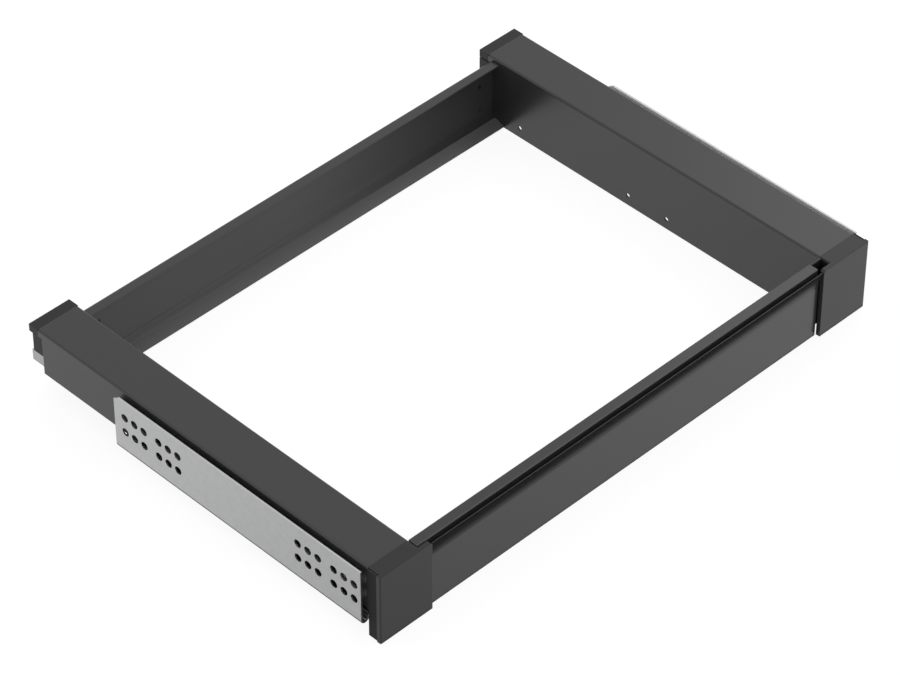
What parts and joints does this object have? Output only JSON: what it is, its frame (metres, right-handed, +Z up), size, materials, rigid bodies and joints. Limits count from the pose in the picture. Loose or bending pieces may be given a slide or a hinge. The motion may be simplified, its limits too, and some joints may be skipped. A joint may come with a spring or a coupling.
{
  "type": "pull-out bin frame",
  "caption": "Pull-out frame for waste bins: folded side profiles, front and back rails and corner caps on full-extension ball runners with screw-on cabinet brackets.",
  "frame": {"origin": "middle of the footprint, on the plane of the frame's lowest edge", "axes": "-Y points out of the cabinet, the way the frame slides; +X is to the right seen from the front; +Z up"},
  "size_m": [0.562, 0.4036, 0.0696],
  "materials": {
    "anthracite_sheet": "satin anthracite powder coat",
    "moulded_plastic": "matt moulded",
    "galvanised_steel": "galvanised, matt",
    "bright_steel": "zinc plated",
    "rubber": "matt",
    "black_screws": "black zinc"
  },
  "bodies": {
    "cabinet_side": {"cabinet_bracket_left": "galvanised_steel", "cabinet_member_left": "galvanised_steel", "bracket_rivets_left": "bright_steel", "cabinet_bracket_right": "galvanised_steel", "cabinet_member_right": "galvanised_steel", "bracket_rivets_right": "bright_steel"},
    "frame": {"side_profile_left": "anthracite_sheet", "front_cap_left": "moulded_plastic", "rear_cap_left": "moulded_plastic", "drawer_member_left": "galvanised_steel", "drawer_rivets_left": "bright_steel", "closing_buffer_left": "rubber", "side_profile_right": "anthracite_sheet", "front_cap_right": "moulded_plastic", "rear_cap_right": "moulded_plastic", "drawer_member_right": "galvanised_steel", "drawer_rivets_right": "bright_steel", "closing_buffer_right": "rubber", "front_rail": "anthracite_sheet", "back_rail": "anthracite_sheet", "front_rail_screws": "black_screws", "back_rail_screws": "black_screws"},
    "middle_member_left": {"middle_member_left": "bright_steel"},
    "inner_cage_left": {"inner_cage_left": "bright_steel", "inner_balls_left": "bright_steel"},
    "outer_cage_left": {"outer_cage_left": "bright_steel", "outer_balls_left": "bright_steel"},
    "middle_member_right": {"middle_member_right": "bright_steel"},
    "inner_cage_right": {"inner_cage_right": "bright_steel", "inner_balls_right": "bright_steel"},
    "outer_cage_right": {"outer_cage_right": "bright_steel", "outer_balls_right": "bright_steel"}
  },
  "joints": [
    {"name": "frame_slide", "type": "slide", "parent": "cabinet_side", "child": "frame", "axis": [0, -1, 0], "range_m": [0, 0.385]},
    {"name": "middle_member_left_slide", "type": "slide", "parent": "cabinet_side", "child": "middle_member_left", "axis": [0, -1, 0], "range_m": [0, 0.1925]},
    {"name": "inner_cage_left_slide", "type": "slide", "parent": "cabinet_side", "child": "inner_cage_left", "axis": [0, -1, 0], "range_m": [0, 0.09625]},
    {"name": "outer_cage_left_slide", "type": "slide", "parent": "cabinet_side", "child": "outer_cage_left", "axis": [0, -1, 0], "range_m": [0, 0.28875]},
    {"name": "middle_member_right_slide", "type": "slide", "parent": "cabinet_side", "child": "middle_member_right", "axis": [0, -1, 0], "range_m": [0, 0.1925]},
    {"name": "inner_cage_right_slide", "type": "slide", "parent": "cabinet_side", "child": "inner_cage_right", "axis": [0, -1, 0], "range_m": [0, 0.09625]},
    {"name": "outer_cage_right_slide", "type": "slide", "parent": "cabinet_side", "child": "outer_cage_right", "axis": [0, -1, 0], "range_m": [0, 0.28875]}
  ],
  "couplings": [
    {"joint": "middle_member_left_slide", "follows": "frame_slide", "ratio": 0.5},
    {"joint": "inner_cage_left_slide", "follows": "frame_slide", "ratio": 0.25},
    {"joint": "outer_cage_left_slide", "follows": "frame_slide", "ratio": 0.75},
    {"joint": "middle_member_right_slide", "follows": "frame_slide", "ratio": 0.5},
    {"joint": "inner_cage_right_slide", "follows": "frame_slide", "ratio": 0.25},
    {"joint": "outer_cage_right_slide", "follows": "frame_slide", "ratio": 0.75}
  ]
}
